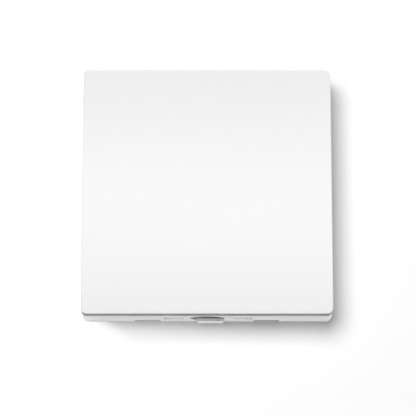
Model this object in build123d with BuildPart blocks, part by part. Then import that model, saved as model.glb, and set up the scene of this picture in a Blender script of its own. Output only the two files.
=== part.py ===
from build123d import *
from math import atan2, degrees, radians
import os

# Smart light switch for a square wall box: a sprung press panel over a wall-mounted tray with two cells.
# The origin is on the wall plane, midway between the fixing screws. +X is right, +Z up, +Y into the wall.
# A value that ends in _at is a height out from the wall, along -Y. Heights behind the wall are negative.

# Overall sizes, in millimetres
plate_side = 86.0  # surround outline where it meets the wall
rear_side = 50.0  # rear housing across its flats
fixing_pitch = 60.3  # between the two fixing screws

# Front panel
panel_inset = 0.2  # from the surround's outline, on each side
panel_wall = 1.8
panel_crown = 0.4  # rise of the middle above the top and bottom edges
panel_corner = 2.0
panel_edge = 0.3  # rounding of the front edges
panel_bevel = 0.9  # behind the edges, so that the rim looks thin
panel_gap = 3.2  # shadow gap between the panel and the surround
press_angle = 0.9  # degrees of travel
press_clear = 0.35  # room left under the skirt at full travel
skirt_wall = 1.2
skirt_play = 0.8
skirt_overlap = 0.8  # how far the skirt dips into the surround
rib_wall = 1.0
rib_rise = 0.7
rib_pitch = 20.0

# Surround frame
frame_wall = 1.8
frame_corner = 1.8
frame_edge = 0.15
ledge_reach = 2.4
ledge_thick = 1.4
notch_width = 8.7
notch_rise = 3.2
notch_x = 20.5
slot_length = 12.3  # eye-shaped slot of the slider, tip to tip
slot_front = 3.2  # bulge ahead of the tips
slot_back = 4.6  # bulge behind the tips
slot_at = 6.6

# Mounting base
base_play = 0.15
base_corner = 1.4
floor = 2.0
rim_wall = 1.4
snap_inset = 9.85  # from the base's corners
snap_length = 6.0
snap_rise = 0.35
snap_height = 0.8
snap_play = 0.3
snap_at = 3.6
fixing_slot_r = 2.2
fixing_slot_length = 7.0

# Hinge of the panel
hinge_x = 30.0
hinge_inset = 4.0  # below the skirt's upper wall
hinge_at = 8.0
pin_r = 1.5
hinge_play = 0.05
hook_wall = 1.25
hook_width = 4.6
hook_side_play = 0.5
hook_mouth = 2.7
cheek_wall = 1.6
cheek_r = 2.6

# Lock slider and the panel's catch hooks
tab_width = 9.4
tab_stop = 0.25  # room left at each end of the slot
tab_drop = 1.05  # below the surround's lower edge
tab_front = 0.75  # ahead of the slot's tips
tab_back = 3.7  # behind the slot's tips
tab_lip = 0.12  # fall of the lip from the finger scoop to the wall
tab_scoop = 0.2  # depth of the finger scoop
tab_corner = 0.8
tab_clear = 0.05
neck_width = 5.6
neck_thick = 1.8
neck_back = 1.5  # behind the slot's tips
bar_thick = 1.6
bar_end = 1.3
bar_play = 0.2
guide_wall = 1.2
guide_rise = 3.2
window_play = 0.6
keeper_x = 11.0
keeper_thick = 1.4
catch_overlap = 0.2
catch_play = 0.2
catch_arm = 1.2
catch_barb = 1.0
catch_side_play = 0.3

# Cells, their bay and contacts
cell_r = 5.25
cell_length = 44.5
cell_edge = 0.5
nub_r = 1.9
nub_length = 0.8
cell_spacing = 0.9  # between the two cells
cell_play = 0.3
cell_lift = 0.6  # cell above the bay floor
cell_headroom = 1.0  # between the cells and the panel's ribs
bay_z = 11.4
bay_floor = 1.4
bay_wall = 1.2
bay_grip = 1.75  # bay wall above the cells' axis
saddle_x = 8.0
saddle_wall = 1.6
saddle_rise = 4.0
strip_thick = 0.4
strip_width = 5.0
strip_bend = 0.6
strip_play = 0.3
leaf_reach = 2.8
bump_r = 1.6
bump_rise = 0.5
contact_gap = 0.05
contact_rise = 3.35  # above the cells' axis
leg_clear = 1.2  # between the contact legs and the screw pillars

# Plunger, its spring and the push switch
plunger_inset = 4.0  # from the board's lower edge
plunger_r = 1.6
plunger_play = 0.05
plunger_head = 1.6
plunger_head_rim = 0.35  # outside the spring
plunger_edge = 0.5
plunger_top_at = 9.6
post_r = 2.4
push_gap = 0.1
barb_rise = 0.5
barb_length = 1.1
barb_gap = 0.15
split_width = 0.7
split_depth = 5.0
guide_boss_wall = 1.05
guide_boss_rise = 2.4
spring_wire_r = 0.3
spring_clear = 0.35  # round the guide boss
spring_turns = 3.5
spring_seat = 0.05
switch_side = 6.0
switch_height = 3.4
switch_floor = 0.5
stem_r = 1.75
stem_play = 0.1
stem_rise = 1.2

# Rear housing, its screws and the board
rear_wall = 1.6
rear_chamfer = 9.0
rear_edge = 0.8
screw_inset = 7.5  # from the housing's flats
pillar_r = 3.8
pillar_web = 2.2
boss_r = 2.6
boss_depth = 6.5
screw_r = 1.15
screw_length = 6.5
screw_head_r = 2.2
screw_head = 1.6
screw_play = 0.05
screw_through_play = 0.3
counterbore_r = 2.6
cross_width = 0.7
cross_length = 2.6
cross_depth = 0.7
board_thick = 1.6
board_play = 0.4
board_drop = 7.0  # wall plane to the board's front
support_reach = 1.6
support_width = 2.4
support_offset = 5.0
press_post_r = 1.4
press_post_inset = 3.9  # from the housing's inner wall
press_post_z = 2.0
press_post_gap = 0.05

# Wire terminals
terminal_clear = 1.3  # between the block and the screw pillars
terminal_play = 0.2
terminal_wall = 1.2
terminal_floor = 2.0
clamp_width = 7.0
clamp_length = 8.4
clamp_front_gap = 0.4
wire_r = 1.7
wire_wall = 1.7  # brass in front of the wire bore
wire_entry_r = 3.0
terminal_screw_r = 1.4
terminal_head_r = 2.5
terminal_head = 1.6
terminal_access_r = 3.0
tail_width = 3.0
tail_thick = 1.0
driver_slot = 0.7
driver_depth = 0.8

# Parts on the board
relay_length = 28.0
relay_width = 12.6
relay_height = 10.4
relay_edge = 0.6
relay_x = -2.5
relay_z = 2.3
capacitor_r = 4.0
capacitor_height = 10.5
capacitor_edge = 0.5
capacitor_x = -6.0
supply_z = 15.6
part_clear = 1.3  # between the tallest part and the housing's floor
inductor_side = 7.0
inductor_height = 4.6
inductor_edge = 1.2
inductor_x = 6.0
module_length = 17.0
module_width = 11.0
module_thick = 0.8
module_z = -6.5
can_length = 12.0
can_width = 9.0
can_height = 2.0
can_edge = 0.4
antenna_r = 2.0
antenna_wire_r = 0.3
antenna_turns = 4
antenna_pitch = 2.4
antenna_z = 14.0

# Cells and panel, worked out from the sizes above
cell_pitch = 2 * cell_r + cell_spacing
cell_lower_z = bay_z - cell_pitch / 2
cell_upper_z = bay_z + cell_pitch / 2
cell_at = bay_floor + cell_lift + cell_r
bay_top_at = cell_at + bay_grip
contact_top_at = cell_at + contact_rise
panel_side = plate_side - 2 * panel_inset
panel_back_at = cell_at + cell_r + cell_headroom + rib_rise
front_depth = panel_back_at + panel_wall
skirt_side = panel_side - 2 * (frame_wall + skirt_play)
skirt_bore = skirt_side - 2 * skirt_wall

# Surround, base and hinge
frame_depth = panel_back_at - panel_gap
frame_bore = panel_side - 2 * frame_wall
frame_draft = degrees(atan2(panel_inset, frame_depth))
skirt_end_at = frame_depth - skirt_overlap
hinge_z = skirt_bore / 2 - hinge_inset
edge_travel = (hinge_z + panel_side / 2) * radians(press_angle)
rim_at = skirt_end_at - edge_travel - press_clear - ledge_thick
ledge_bore = frame_bore - 2 * ledge_reach
base_side = frame_bore - 2 * base_play
rim_bore = base_side - 2 * rim_wall
snap_x = base_side / 2 - snap_inset
hook_r = pin_r + hinge_play + hook_wall
cheek_span = hook_width + 2 * hook_side_play

# Slider and catches
slider_travel = slot_length - tab_width - 2 * tab_stop
tab_x = (slot_length - tab_width) / 2 - tab_stop
tab_top = -plate_side / 2 - tab_clear
tab_bottom = -plate_side / 2 - tab_drop
tab_front_at = slot_at + tab_front
tab_back_at = slot_at - tab_back
bar_low = -rim_bore / 2 + bar_play
bar_high = bar_low + bar_thick
bar_back_at = floor + bar_play
bar_front_at = rim_at - bar_play
catch_width = slider_travel - 2 * catch_overlap
keeper_width = catch_width + 2 * catch_overlap
barb_tip = bar_high + catch_side_play
arm_low = barb_tip + catch_barb + catch_side_play
keeper_high = arm_low - catch_side_play
barb_front_at = bar_front_at - keeper_thick - catch_play
catch_end_at = barb_front_at - catch_barb
guide_half = keeper_x - slider_travel - keeper_width / 2 - window_play

# Rear housing, board and screws
tallest_part = max(relay_height, capacitor_height, inductor_height)
board_front_at = -board_drop
board_back_at = board_front_at - board_thick
rear_floor_at = board_back_at - tallest_part - part_clear
rear_depth = rear_wall - rear_floor_at
rear_bore = rear_side - 2 * rear_wall
board_side = rear_bore - 2 * board_play
screw_place = rear_side / 2 - screw_inset
screw_seat_at = -boss_depth - pillar_web
press_post_x = rear_bore / 2 - press_post_inset
wall_shift = rear_wall * (2 - 2**0.5)  # how a chamfer shrinks when its outline is set in by one wall

# Contacts
bay_length = 2 * contact_gap + strip_thick + bump_rise + cell_length + leaf_reach
bay_width = cell_pitch + 2 * (cell_r + cell_play)
strip_x = bay_length / 2 - strip_thick / 2
plus_end_x = bay_length / 2 - strip_thick - bump_rise - contact_gap
minus_end_x = plus_end_x - cell_length
leg_x = screw_place - pillar_r - leg_clear

# Plunger and push switch
plunger_z = plunger_inset - board_side / 2
stem_top_at = board_front_at + switch_height + stem_rise
plunger_tip_at = stem_top_at + push_gap
head_under_at = plunger_top_at - plunger_head
plunger_travel = (hinge_z - plunger_z) * radians(press_angle)
guide_boss_r = plunger_r + plunger_play + guide_boss_wall
spring_r = guide_boss_r + spring_clear + spring_wire_r
plunger_head_r = spring_r + spring_wire_r + plunger_head_rim
stem_well = switch_height - switch_floor
stem_length = stem_rise + stem_well - plunger_travel - push_gap

# Terminals
terminal_half = clamp_width / 2 + terminal_play + terminal_wall
terminal_x = screw_place - pillar_r - terminal_clear - terminal_half
terminal_length = 2 * (terminal_x + terminal_half)
terminal_low = -rear_bore / 2 + terminal_play
clamp_low = terminal_low + terminal_wall + terminal_play
clamp_z = clamp_low + clamp_length / 2
terminal_depth = clamp_length + 2 * (terminal_wall + terminal_play)
terminal_back_at = rear_floor_at + terminal_play
clamp_front_at = board_back_at - terminal_floor - clamp_front_gap
clamp_back_at = terminal_back_at + terminal_wall
wire_at = clamp_front_at - wire_wall - wire_r
screw_tip_at = wire_at - wire_r - terminal_play


def out(height):
    # Plane parallel to the wall, facing the viewer, with sketch x along +X and sketch y along +Z
    return Plane.XZ.offset(height)


def sides(distance):
    return (-distance, distance)


def corners(distance):
    return [(x, z) for x in sides(distance) for z in sides(distance)]


def octagon(side, cut, mode=Mode.ADD):
    # Square of the given side with its corners cut off
    half = side / 2
    flat = half - cut
    outline = [(half, flat), (flat, half), (-flat, half), (-half, flat)]
    Polygon(*outline, *[(-x, -z) for x, z in outline], align=None, mode=mode)


# Press panel: crowned face, skirt, ribs, hinge hooks, push post and two catch hooks
with BuildPart() as front_panel:
    with BuildSketch(Plane.YZ.offset(-panel_side / 2)):
        with BuildLine():
            crown = ThreePointArc(
                (-front_depth, -panel_side / 2),
                (-front_depth - panel_crown, 0),
                (-front_depth, panel_side / 2),
            )
            Polyline(
                crown @ 1,
                (-panel_back_at, panel_side / 2),
                (-panel_back_at, -panel_side / 2),
                crown @ 0,
            )
        make_face()
    extrude(amount=panel_side)
    fillet(front_panel.edges().filter_by(Axis.Y), panel_corner)
    fillet(front_panel.faces().sort_by(Axis.Y)[0].edges(), panel_edge)
    chamfer(front_panel.faces().sort_by(Axis.Y)[-1].edges(), panel_bevel)
    with BuildSketch(out(skirt_end_at)):
        RectangleRounded(skirt_side, skirt_side, panel_corner)
        RectangleRounded(skirt_bore, skirt_bore, panel_corner - skirt_wall, mode=Mode.SUBTRACT)
    extrude(amount=panel_back_at - skirt_end_at)
    with BuildSketch(out(panel_back_at - rib_rise)):
        with GridLocations(rib_pitch, 0, 3, 1):
            Rectangle(rib_wall, skirt_bore)
        with GridLocations(0, rib_pitch, 1, 3):
            Rectangle(skirt_bore, rib_wall)
    extrude(amount=rib_rise)
    with BuildSketch(out(plunger_top_at + push_gap)):
        with Locations((0, plunger_z)):
            Circle(post_r)
    extrude(amount=panel_back_at - plunger_top_at - push_gap)
    for x in sides(hinge_x):
        with BuildSketch(Plane.YZ.offset(x - hook_width / 2)):
            with Locations((-(hinge_at + panel_back_at) / 2, hinge_z)):
                Rectangle(panel_back_at - hinge_at, 2 * hook_r)
            with Locations((-hinge_at, hinge_z)):
                Circle(hook_r)
                Circle(pin_r + hinge_play, mode=Mode.SUBTRACT)
            with Locations((-hinge_at, hinge_z - hook_r)):
                Rectangle(hook_mouth, 2 * hook_r, mode=Mode.SUBTRACT)
        extrude(amount=hook_width)
    for x in sides(keeper_x):
        with BuildSketch(Plane.YZ.offset(x - catch_width / 2)):
            with BuildLine():
                Polyline(
                    (-panel_back_at, arm_low),
                    (-barb_front_at, arm_low),
                    (-barb_front_at, barb_tip),
                    (-(barb_front_at + catch_end_at) / 2, barb_tip),
                    (-catch_end_at, arm_low),
                    (-catch_end_at, arm_low + catch_arm),
                    (-panel_back_at, arm_low + catch_arm),
                    close=True,
                )
            make_face()
        extrude(amount=catch_width)

# Surround frame: drafted walls, inner ledge, pry notches, slider slot and snap pockets
with BuildPart() as surround_frame:
    with BuildSketch(out(0)):
        RectangleRounded(plate_side, plate_side, frame_corner)
    extrude(amount=frame_depth, taper=frame_draft)
    fillet(surround_frame.faces().sort_by(Axis.Y)[0].edges(), frame_edge)
    with BuildSketch(out(0)):
        RectangleRounded(frame_bore, frame_bore, base_corner)
    extrude(amount=rim_at, mode=Mode.SUBTRACT)
    with BuildSketch(out(rim_at)):
        RectangleRounded(ledge_bore, ledge_bore, base_corner)
    extrude(amount=ledge_thick, mode=Mode.SUBTRACT)
    with BuildSketch(out(rim_at + ledge_thick)):
        RectangleRounded(frame_bore, frame_bore, base_corner)
    extrude(amount=frame_depth - rim_at - ledge_thick, mode=Mode.SUBTRACT)
    with BuildSketch(out(0)):
        with Locations(*[(x, -plate_side / 2) for x in sides(notch_x)]):
            Rectangle(notch_width, plate_side - frame_bore)
    extrude(amount=notch_rise, mode=Mode.SUBTRACT)
    with BuildSketch(Plane.XY.offset(-plate_side / 2)):
        with BuildLine():
            tips = [(x, -slot_at) for x in sides(slot_length / 2)]
            ThreePointArc(tips[0], (0, -slot_at - slot_front), tips[1])
            ThreePointArc(tips[1], (0, -slot_at + slot_back), tips[0])
        make_face()
    extrude(amount=(plate_side - frame_bore) / 2, mode=Mode.SUBTRACT)
    pocket_reach = frame_bore / 2 - base_play + snap_rise + snap_play
    with BuildSketch(out(snap_at - snap_height / 2 - snap_play)):
        for x in sides(snap_x):
            with Locations((x, 0)):
                Rectangle(snap_length + 2 * snap_play, 2 * pocket_reach)
            with Locations((0, x)):
                Rectangle(2 * pocket_reach, snap_length + 2 * snap_play)
    extrude(amount=snap_height + 2 * snap_play, mode=Mode.SUBTRACT)

# Mounting base: tray with the cell bay, hinge brackets, plunger guide and slider track
with BuildPart() as mounting_base:
    with BuildSketch(out(0)):
        RectangleRounded(base_side, base_side, base_corner)
    extrude(amount=rim_at)
    with BuildSketch(out(floor)):
        RectangleRounded(rim_bore, rim_bore, base_corner / 2)
    extrude(amount=rim_at - floor, mode=Mode.SUBTRACT)
    with BuildSketch(out(floor)):
        with Locations((0, -(base_side + rim_bore) / 4)):
            Rectangle(2 * (tab_x + neck_width / 2 + window_play), 2 * rim_wall)
    extrude(amount=rim_at - floor, mode=Mode.SUBTRACT)
    with BuildSketch(out(0)):
        with Locations(*[(x, 0) for x in sides(fixing_pitch / 2)]):
            SlotOverall(fixing_slot_length, 2 * fixing_slot_r)
    extrude(amount=floor, mode=Mode.SUBTRACT)
    with BuildSketch(out(snap_at - snap_height / 2)):
        for x in sides(snap_x):
            for edge in sides(base_side / 2):
                with Locations((x, edge)):
                    Rectangle(snap_length, 2 * snap_rise)
                with Locations((edge, x)):
                    Rectangle(2 * snap_rise, snap_length)
    extrude(amount=snap_height)
    with BuildSketch(out(floor)):
        with Locations((0, bay_z)):
            Rectangle(bay_length + 2 * bay_wall, bay_width + 2 * bay_wall)
    extrude(amount=bay_top_at - floor)
    with BuildSketch(out(bay_floor)):
        with Locations((0, bay_z)):
            Rectangle(bay_length, bay_width)
    extrude(amount=bay_top_at - bay_floor, mode=Mode.SUBTRACT)
    for x in sides(saddle_x):
        with BuildSketch(Plane.YZ.offset(x - saddle_wall / 2)):
            with Locations((-bay_floor - saddle_rise / 2, bay_z)):
                Rectangle(saddle_rise, bay_width)
            with Locations((-cell_at, cell_lower_z), (-cell_at, cell_upper_z)):
                Circle(cell_r + contact_gap, mode=Mode.SUBTRACT)
        extrude(amount=saddle_wall)
    with BuildSketch(out(0)):
        with Locations((leg_x, cell_lower_z), (leg_x, cell_upper_z)):
            Rectangle(strip_thick + 2 * strip_play, strip_width + 2 * strip_play)
    extrude(amount=bay_floor, mode=Mode.SUBTRACT)
    for x in sides(hinge_x):
        for cheek_x in (x - cheek_span / 2 - cheek_wall, x + cheek_span / 2):
            with BuildSketch(Plane.YZ.offset(cheek_x)):
                with Locations((-(floor + hinge_at) / 2, hinge_z)):
                    Rectangle(hinge_at - floor, 2 * cheek_r)
                with Locations((-hinge_at, hinge_z)):
                    Circle(cheek_r)
            extrude(amount=cheek_wall)
        with BuildSketch(Plane.YZ.offset(x - cheek_span / 2)):
            with Locations((-hinge_at, hinge_z)):
                Circle(pin_r)
        extrude(amount=cheek_span)
    with BuildSketch(out(floor)):
        with Locations((0, bar_high + bar_play + guide_wall / 2)):
            Rectangle(2 * guide_half, guide_wall)
    extrude(amount=guide_rise)
    with BuildSketch(out(floor)):
        with Locations((0, plunger_z)):
            Circle(guide_boss_r)
    extrude(amount=guide_boss_rise)
    with BuildSketch(out(-boss_depth)):
        with Locations(*corners(screw_place)):
            Circle(boss_r)
    extrude(amount=boss_depth)
    with BuildSketch(out(-boss_depth)):
        with Locations(*corners(screw_place)):
            Circle(screw_r + screw_play)
    extrude(amount=boss_depth, mode=Mode.SUBTRACT)
    with BuildSketch(out(board_front_at + press_post_gap)):
        with Locations(*[(x, -press_post_z) for x in sides(press_post_x)]):
            Circle(press_post_r)
    extrude(amount=board_drop - press_post_gap)
    with BuildSketch(out(0)):
        with Locations((0, plunger_z)):
            Circle(plunger_r + plunger_play)
    extrude(amount=floor + guide_boss_rise, mode=Mode.SUBTRACT)

# Lock slider: scooped thumb tab, neck through the slot, bar in its track and two keepers
with BuildPart() as lock_slider:
    with BuildSketch(Plane.YZ.offset(tab_x - tab_width / 2)):
        with BuildLine():
            lip_top = tab_bottom + tab_lip
            Polyline(
                (-tab_front_at, lip_top),
                (-tab_back_at, tab_bottom),
                (-tab_back_at, tab_top),
                (-tab_front_at, tab_top),
            )
            ThreePointArc(
                (-tab_front_at, tab_top),
                (-tab_front_at + tab_scoop, (tab_top + lip_top) / 2),
                (-tab_front_at, lip_top),
            )
        make_face()
    extrude(amount=tab_width)
    with BuildSketch(out(tab_back_at)):
        with Locations((tab_x, tab_top)):
            RectangleRounded(tab_width, 2 * (tab_top - tab_bottom), tab_corner)
    extrude(amount=tab_front_at - tab_back_at, mode=Mode.INTERSECT)
    with BuildSketch(Plane.XY.offset(tab_top)):
        with Locations((tab_x, neck_back - slot_at)):
            Rectangle(neck_width, neck_thick)
    extrude(amount=bar_high - tab_top)
    with BuildSketch(out(bar_back_at)):
        with Locations((0, (bar_low + bar_high) / 2)):
            Rectangle(2 * keeper_x + keeper_width + 2 * bar_end, bar_thick)
    extrude(amount=bar_front_at - bar_back_at)
    with BuildSketch(out(bar_front_at - keeper_thick)):
        with Locations(*[(x, (bar_high + keeper_high) / 2) for x in sides(keeper_x)]):
            Rectangle(keeper_width, keeper_high - bar_high)
    extrude(amount=keeper_thick)

# Plunger: pressed by the panel's post, guided by the base and held by a split barb
with BuildPart() as plunger:
    with BuildSketch(out(plunger_tip_at)):
        with Locations((0, plunger_z)):
            Circle(plunger_r)
    extrude(amount=head_under_at - plunger_tip_at)
    with BuildSketch(out(-barb_gap)):
        with Locations((0, plunger_z)):
            Circle(plunger_r + barb_rise)
    extrude(amount=-barb_length, taper=degrees(atan2(barb_rise, barb_length)))
    with BuildSketch(out(plunger_tip_at)):
        with Locations((0, plunger_z)):
            Rectangle(split_width, 2 * (plunger_r + barb_rise))
    extrude(amount=split_depth, mode=Mode.SUBTRACT)
    with BuildSketch(out(head_under_at)):
        with Locations((0, plunger_z)):
            Circle(plunger_head_r)
    extrude(amount=plunger_head)
    chamfer(plunger.faces().sort_by(Axis.Y)[0].edges(), plunger_edge)

# Return spring between the base's floor and the plunger's head
with BuildPart() as return_spring:
    with BuildLine():
        spring_start = floor + spring_wire_r + spring_seat
        spring_height = head_under_at - spring_wire_r - spring_seat - spring_start
        coil = Helix(
            pitch=spring_height / spring_turns,
            height=spring_height,
            radius=spring_r,
            center=(0, -spring_start, plunger_z),
            direction=(0, -1, 0),
        )
    with BuildSketch(Plane(origin=coil @ 0, z_dir=coil % 0)):
        RegularPolygon(spring_wire_r, 6)
    sweep(path=coil, is_frenet=True)

# Push switch on the board: moulded body with a well, and the stem that slides in it
with BuildPart() as switch_body:
    with BuildSketch(out(board_front_at)):
        with Locations((0, plunger_z)):
            Rectangle(switch_side, switch_side)
    extrude(amount=switch_height)
    with BuildSketch(out(board_front_at + switch_floor)):
        with Locations((0, plunger_z)):
            Circle(stem_r + stem_play)
    extrude(amount=stem_well, mode=Mode.SUBTRACT)

with BuildPart() as switch_stem:
    with BuildSketch(out(stem_top_at - stem_length)):
        with Locations((0, plunger_z)):
            Circle(stem_r)
    extrude(amount=stem_length)

# Rear housing: octagonal box with four screw pillars, board supports and terminal openings
with BuildPart() as rear_housing:
    with BuildSketch(out(0)):
        octagon(rear_side, rear_chamfer)
    extrude(amount=-rear_depth)
    chamfer(rear_housing.faces().sort_by(Axis.Y)[-1].edges(), rear_edge)
    with BuildSketch(out(0)):
        octagon(rear_bore, rear_chamfer - wall_shift)
    extrude(amount=rear_floor_at, mode=Mode.SUBTRACT)
    with BuildSketch(out(rear_floor_at)):
        with Locations(*corners(screw_place)):
            Circle(pillar_r)
        for x in sides((rear_bore - support_reach) / 2):
            for z in sides(support_offset):
                with Locations((x, z)):
                    Rectangle(support_reach, support_width)
    extrude(amount=board_back_at - rear_floor_at)
    with BuildSketch(out(board_back_at)):
        with Locations(*corners(screw_place)):
            Circle(pillar_r)
    extrude(amount=-boss_depth - board_back_at)
    with BuildSketch(out(-rear_depth)):
        with Locations(*corners(screw_place)):
            Circle(counterbore_r)
    extrude(amount=screw_seat_at + rear_depth, mode=Mode.SUBTRACT)
    with BuildSketch(out(screw_seat_at)):
        with Locations(*corners(screw_place)):
            Circle(screw_r + screw_through_play)
    extrude(amount=pillar_web, mode=Mode.SUBTRACT)
    with BuildSketch(out(-rear_depth)):
        with Locations(*[(x, clamp_z) for x in sides(terminal_x)]):
            Circle(terminal_access_r)
    extrude(amount=rear_wall, mode=Mode.SUBTRACT)
    with BuildSketch(Plane.XY.offset(-rear_side / 2)):
        with Locations(*[(x, -wire_at) for x in sides(terminal_x)]):
            Circle(wire_entry_r)
    extrude(amount=rear_wall, mode=Mode.SUBTRACT)

# Four screws from the rear housing into the base, with cross recesses
with BuildPart() as housing_screws:
    with BuildSketch(out(screw_seat_at)):
        with Locations(*corners(screw_place)):
            Circle(screw_r)
    extrude(amount=screw_length)
    with BuildSketch(out(screw_seat_at - screw_head)):
        with Locations(*corners(screw_place)):
            Circle(screw_head_r)
    extrude(amount=screw_head)
    with BuildSketch(out(screw_seat_at - screw_head)):
        with Locations(*corners(screw_place)):
            Rectangle(cross_width, cross_length)
            Rectangle(cross_length, cross_width)
    extrude(amount=cross_depth, mode=Mode.SUBTRACT)

# Board with notches round the pillars and slots for the contact legs
with BuildPart() as circuit_board:
    with BuildSketch(out(board_back_at)):
        octagon(board_side, rear_chamfer - wall_shift)
        with Locations(*corners(screw_place)):
            Circle(pillar_r + board_play, mode=Mode.SUBTRACT)
        with Locations((leg_x, cell_lower_z), (leg_x, cell_upper_z)):
            Rectangle(strip_thick + strip_play, strip_width + strip_play, mode=Mode.SUBTRACT)
    extrude(amount=board_thick)

# Terminal block with a pocket, a wire hole and a tail slot for each clamp
with BuildPart() as terminal_block:
    with BuildSketch(out(terminal_back_at)):
        with Locations((0, terminal_low + terminal_depth / 2)):
            Rectangle(terminal_length, terminal_depth)
    extrude(amount=board_back_at - terminal_back_at)
    with BuildSketch(out(terminal_back_at)):
        with Locations(*[(x, clamp_z) for x in sides(terminal_x)]):
            Rectangle(clamp_width + 2 * terminal_play, clamp_length + 2 * terminal_play)
    extrude(amount=board_back_at - terminal_floor - terminal_back_at, mode=Mode.SUBTRACT)
    with BuildSketch(Plane.XY.offset(terminal_low)):
        with Locations(*[(x, -wire_at) for x in sides(terminal_x)]):
            Circle(wire_entry_r)
    extrude(amount=terminal_wall, mode=Mode.SUBTRACT)
    with BuildSketch(out(board_back_at - terminal_floor)):
        with Locations(*[(x, clamp_z) for x in sides(terminal_x)]):
            Rectangle(tail_width + 2 * terminal_play, tail_thick + 2 * terminal_play)
    extrude(amount=terminal_floor, mode=Mode.SUBTRACT)


def terminal_clamp(x):
    # Brass block with a wire bore along Z, a screw hole from the rear and a solder tail to the board
    with BuildPart() as clamp:
        with BuildSketch(out(clamp_back_at)):
            with Locations((x, clamp_z)):
                Rectangle(clamp_width, clamp_length)
        extrude(amount=clamp_front_at - clamp_back_at)
        with BuildSketch(out(clamp_front_at)):
            with Locations((x, clamp_z)):
                Rectangle(tail_width, tail_thick)
        extrude(amount=board_back_at - clamp_front_at)
        with BuildSketch(Plane.XY.offset(clamp_low)):
            with Locations((x, -wire_at)):
                Circle(wire_r)
        extrude(amount=clamp_length, mode=Mode.SUBTRACT)
        with BuildSketch(out(clamp_back_at)):
            with Locations((x, clamp_z)):
                Circle(terminal_screw_r + screw_play)
        extrude(amount=wire_at - clamp_back_at, mode=Mode.SUBTRACT)
    return clamp


terminal_clamp_line = terminal_clamp(-terminal_x)
terminal_clamp_load = terminal_clamp(terminal_x)

# Two slotted terminal screws, backed off so that the wire bores are free
with BuildPart() as terminal_screws:
    with BuildSketch(out(clamp_back_at)):
        with Locations(*[(x, clamp_z) for x in sides(terminal_x)]):
            Circle(terminal_screw_r)
    extrude(amount=screw_tip_at - clamp_back_at)
    with BuildSketch(out(clamp_back_at)):
        with Locations(*[(x, clamp_z) for x in sides(terminal_x)]):
            Circle(terminal_head_r)
    extrude(amount=-terminal_head)
    with BuildSketch(out(clamp_back_at - terminal_head)):
        with Locations(*[(x, clamp_z) for x in sides(terminal_x)]):
            Rectangle(2 * terminal_head_r, driver_slot)
    extrude(amount=driver_depth, mode=Mode.SUBTRACT)


def cell(z, plus):
    # One cell along X. plus is 1 where its nub points to +X and -1 where it points to -X
    with BuildPart() as can:
        with BuildSketch(Plane.YZ.offset(plus * minus_end_x)):
            with Locations((-cell_at, z)):
                Circle(cell_r)
        extrude(amount=plus * (cell_length - nub_length))
        chamfer(can.edges().filter_by(GeomType.CIRCLE), cell_edge)
        with BuildSketch(Plane.YZ.offset(plus * (plus_end_x - nub_length))):
            with Locations((-cell_at, z)):
                Circle(nub_r)
        extrude(amount=plus * nub_length)
    return can


cell_lower = cell(cell_lower_z, 1)
cell_upper = cell(cell_upper_z, -1)


def bump(z, end):
    # Round pip that meets a cell's nub. end is 1 at the bay's +X end and -1 at the other
    with BuildSketch(Plane.YZ.offset(end * (bay_length / 2 - strip_thick))) as pip:
        with Locations((-cell_at, z)):
            Circle(bump_r)
    extrude(pip.sketch, amount=-end * bump_rise)


def strip(points, z, width):
    # Bent sheet strip along a path of (x, height) points, centred on z
    with BuildSketch(Plane.XY.offset(z - width / 2)) as band:
        with BuildLine():
            FilletPolyline(*[(x, -height) for x, height in points], radius=strip_bend)
        trace(line_width=strip_thick)
    extrude(band.sketch, amount=width)


def leaf(end):
    # Arm that folds over at the top of the strip and bears on a cell's flat end
    face_x = -minus_end_x + contact_gap + strip_thick / 2
    return [
        (end * strip_x, contact_top_at),
        (end * (strip_x - 2 * strip_bend), contact_top_at),
        (end * face_x, cell_at),
        (end * (strip_x - 2 * strip_bend), bay_floor + 2 * strip_bend + strip_thick),
    ]


foot_at = bay_floor + strip_thick / 2
leg_path = [(leg_x, board_back_at), (leg_x, foot_at), (strip_x, foot_at)]

# Contacts: one for each end of the pair at +X, and the link that joins the cells at -X
with BuildPart() as contact_positive:
    strip(leg_path + [(strip_x, contact_top_at)], cell_lower_z, strip_width)
    bump(cell_lower_z, 1)

with BuildPart() as contact_negative:
    strip(leg_path + leaf(1), cell_upper_z, strip_width)

with BuildPart() as contact_link:
    with BuildSketch(Plane.YZ.offset(-bay_length / 2)):
        with Locations((-(bay_floor + contact_top_at) / 2, bay_z)):
            Rectangle(contact_top_at - bay_floor - 2 * strip_bend, cell_pitch + strip_width)
    extrude(amount=strip_thick)
    strip([(-strip_x, cell_at)] + leaf(-1), cell_lower_z, strip_width)
    bump(cell_upper_z, -1)

# Relay, capacitor and inductor on the back of the board
with BuildPart() as relay:
    with BuildSketch(out(board_back_at)):
        with Locations((relay_x, relay_z)):
            Rectangle(relay_length, relay_width)
    extrude(amount=-relay_height)
    fillet(relay.faces().sort_by(Axis.Y)[-1].edges(), relay_edge)

with BuildPart() as storage_capacitor:
    with BuildSketch(out(board_back_at)):
        with Locations((capacitor_x, supply_z)):
            Circle(capacitor_r)
    extrude(amount=-capacitor_height)
    chamfer(storage_capacitor.faces().sort_by(Axis.Y)[-1].edges(), capacitor_edge)

with BuildPart() as boost_inductor:
    with BuildSketch(out(board_back_at)):
        with Locations((inductor_x, supply_z)):
            RectangleRounded(inductor_side, inductor_side, inductor_edge)
    extrude(amount=-inductor_height)

# Radio module, its shield can and the coiled antenna on the front of the board
with BuildPart() as radio_module:
    with BuildSketch(out(board_front_at)):
        with Locations((0, module_z)):
            Rectangle(module_length, module_width)
    extrude(amount=module_thick)

with BuildPart() as shield_can:
    with BuildSketch(out(board_front_at + module_thick)):
        with Locations((0, module_z)):
            Rectangle(can_length, can_width)
    extrude(amount=can_height)
    fillet(shield_can.faces().sort_by(Axis.Y)[0].edges(), can_edge)

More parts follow.
